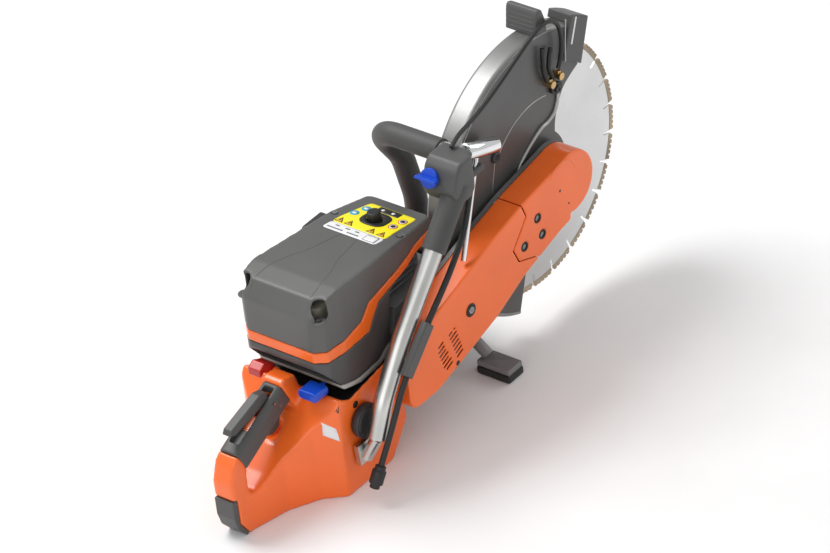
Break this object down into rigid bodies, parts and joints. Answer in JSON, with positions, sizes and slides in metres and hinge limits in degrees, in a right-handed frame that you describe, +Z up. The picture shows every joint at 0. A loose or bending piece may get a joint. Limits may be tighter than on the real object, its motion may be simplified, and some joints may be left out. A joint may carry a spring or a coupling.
{
  "type": "rescue saw",
  "caption": "Petrol rescue cut-off saw: diamond blade on a belt arm under a tilting guard, engine with top cover, fuel tank and looped rear handle, tubular front handle, water feed.",
  "frame": {"origin": "on the ground, under the middle of the machine's bounding box", "axes": "+X forward from the rear handle to the blade, +Y to the machine's left, +Z up"},
  "size_m": [0.765, 0.2575, 0.452],
  "materials": {
    "orange_plastic": "gloss",
    "grey_plastic": "satin",
    "guard_paint": "satin",
    "rubber_coating": "matte",
    "black_rubber": "matte",
    "black_plastic": "satin",
    "aluminium": "satin",
    "cast_alloy": "cast",
    "bearing_steel": "satin",
    "muffler_steel": "matte",
    "red_plastic": "gloss",
    "blue_plastic": "gloss",
    "chrome": "polished",
    "brass": "satin",
    "blade_steel": "brushed",
    "diamond_matrix": "rough",
    "filter_felt": "matte"
  },
  "bodies": {
    "saw": {"tank_unit": "orange_plastic", "rear_bumper": "grey_plastic", "grip_insert": "grey_plastic", "lever_pins": "bearing_steel", "anti_vibration_mounts": "black_rubber", "top_cover": "grey_plastic", "orange_band": "orange_plastic", "lower_housing": "grey_plastic", "housing_gasket": "aluminium", "cover_screws": "bearing_steel", "air_filter": "filter_felt", "carburettor": "cast_alloy", "crankcase_right": "cast_alloy", "crankcase_left": "cast_alloy", "main_bearings": "bearing_steel", "cylinder": "cast_alloy", "piston": "cast_alloy", "spark_plug": "bearing_steel", "muffler": "muffler_steel", "starter_cover": "orange_plastic", "rewind_spring": "bearing_steel", "belt_arm": "cast_alloy", "rear_belt_cover": "orange_plastic", "front_bearing_cover": "orange_plastic", "arm_bolts": "bearing_steel", "drive_belt": "black_rubber", "blade_bearings": "bearing_steel", "front_handle_tube": "aluminium", "handle_rubber": "rubber_coating", "handle_block": "grey_plastic", "hose_protector": "grey_plastic", "supply_hose": "black_rubber", "hose_connector": "black_rubber", "guard_hose": "black_rubber", "support_foot": "cast_alloy", "foot_pads": "black_rubber"},
    "blade": {"blade_core": "blade_steel", "blade_segments": "diamond_matrix", "blade_flanges": "bearing_steel", "blade_bolt": "bearing_steel", "blade_shaft": "bearing_steel", "driven_pulley": "bearing_steel"},
    "crank": {"crankshaft": "bearing_steel", "flywheel": "cast_alloy", "clutch_drum": "bearing_steel", "drive_pulley": "bearing_steel"},
    "guard": {"guard_shell": "guard_paint", "guard_grip": "grey_plastic", "guard_front_block": "grey_plastic", "water_fittings": "brass"},
    "trigger": {"throttle_trigger": "grey_plastic"},
    "lockout": {"throttle_lockout": "grey_plastic"},
    "fuel_cap": {"fuel_cap": "black_plastic"},
    "stop_switch": {"stop_switch": "red_plastic"},
    "choke": {"choke_knob": "blue_plastic"},
    "decompression": {"decompression_button": "black_rubber"},
    "water_valve": {"water_valve_knob": "blue_plastic"},
    "wrench": {"wrench": "chrome"},
    "starter_pulley": {"starter_pulley": "black_plastic"},
    "starter_handle": {"starter_handle": "black_plastic"}
  },
  "joints": [
    {"name": "blade_spin", "type": "hinge", "parent": "saw", "child": "blade", "pos_m": [0.206, -0.05, 0.222], "axis": [0, 1, 0], "continuous": true},
    {"name": "crank_spin", "type": "hinge", "parent": "saw", "child": "crank", "pos_m": [-0.055, 0, 0.148], "axis": [0, 1, 0], "continuous": true},
    {"name": "guard_tilt", "type": "hinge", "parent": "saw", "child": "guard", "pos_m": [0.206, -0.0645, 0.222], "axis": [0, 1, 0], "range_deg": [-10, 35], "deforming": ["guard_hose"]},
    {"name": "trigger_pull", "type": "hinge", "parent": "saw", "child": "trigger", "pos_m": [-0.276, 0, 0.141], "axis": [0, 1, 0], "range_deg": [0, 14], "stiffness_Nm_per_rad": 0.3, "springref_deg": -8.59},
    {"name": "lockout_press", "type": "hinge", "parent": "saw", "child": "lockout", "pos_m": [-0.285, 0, 0.15], "axis": [0, 1, 0], "range_deg": [-10, 0], "stiffness_Nm_per_rad": 0.3, "springref_deg": 17.19},
    {"name": "fuel_cap_turn", "type": "hinge", "parent": "saw", "child": "fuel_cap", "pos_m": [-0.2, -0.085, 0.096], "axis": [0, 1, 0], "continuous": true},
    {"name": "stop_switch_flip", "type": "hinge", "parent": "saw", "child": "stop_switch", "pos_m": [-0.238, 0.034, 0.16], "axis": [0, 1, 0], "range_deg": [0, 18]},
    {"name": "choke_pull", "type": "slide", "parent": "saw", "child": "choke", "axis": [-1, 0, 0], "range_m": [0, 0.012]},
    {"name": "decompression_press", "type": "slide", "parent": "saw", "child": "decompression", "axis": [0, 0, -1], "range_m": [0, 0.004], "stiffness_N_per_m": 800, "springref_m": -0.002},
    {"name": "water_valve_turn", "type": "hinge", "parent": "saw", "child": "water_valve", "pos_m": [-0.017, -0.078, 0.348], "axis": [-0.9417, 0, 0.3366], "range_deg": [0, 90]},
    {"name": "starter_pull", "type": "slide", "parent": "saw", "child": "starter_handle", "axis": [0, 0, 1], "range_m": [0, 0.08], "stiffness_N_per_m": 60, "springref_m": -0.05},
    {"name": "starter_pulley_turn", "type": "hinge", "parent": "saw", "child": "starter_pulley", "pos_m": [-0.055, 0.108, 0.148], "axis": [0, 1, 0], "range_deg": [-230, 0]},
    {"name": "wrench_out", "type": "slide", "parent": "saw", "child": "wrench", "axis": [0.5346, 0.1568, 0.8304], "range_m": [0, 0.028]}
  ],
  "couplings": [
    {"joint": "crank_spin", "follows": "blade_spin", "ratio": 2},
    {"joint": "starter_pulley_turn", "follows": "starter_pull", "rad_per_m": -50}
  ]
}
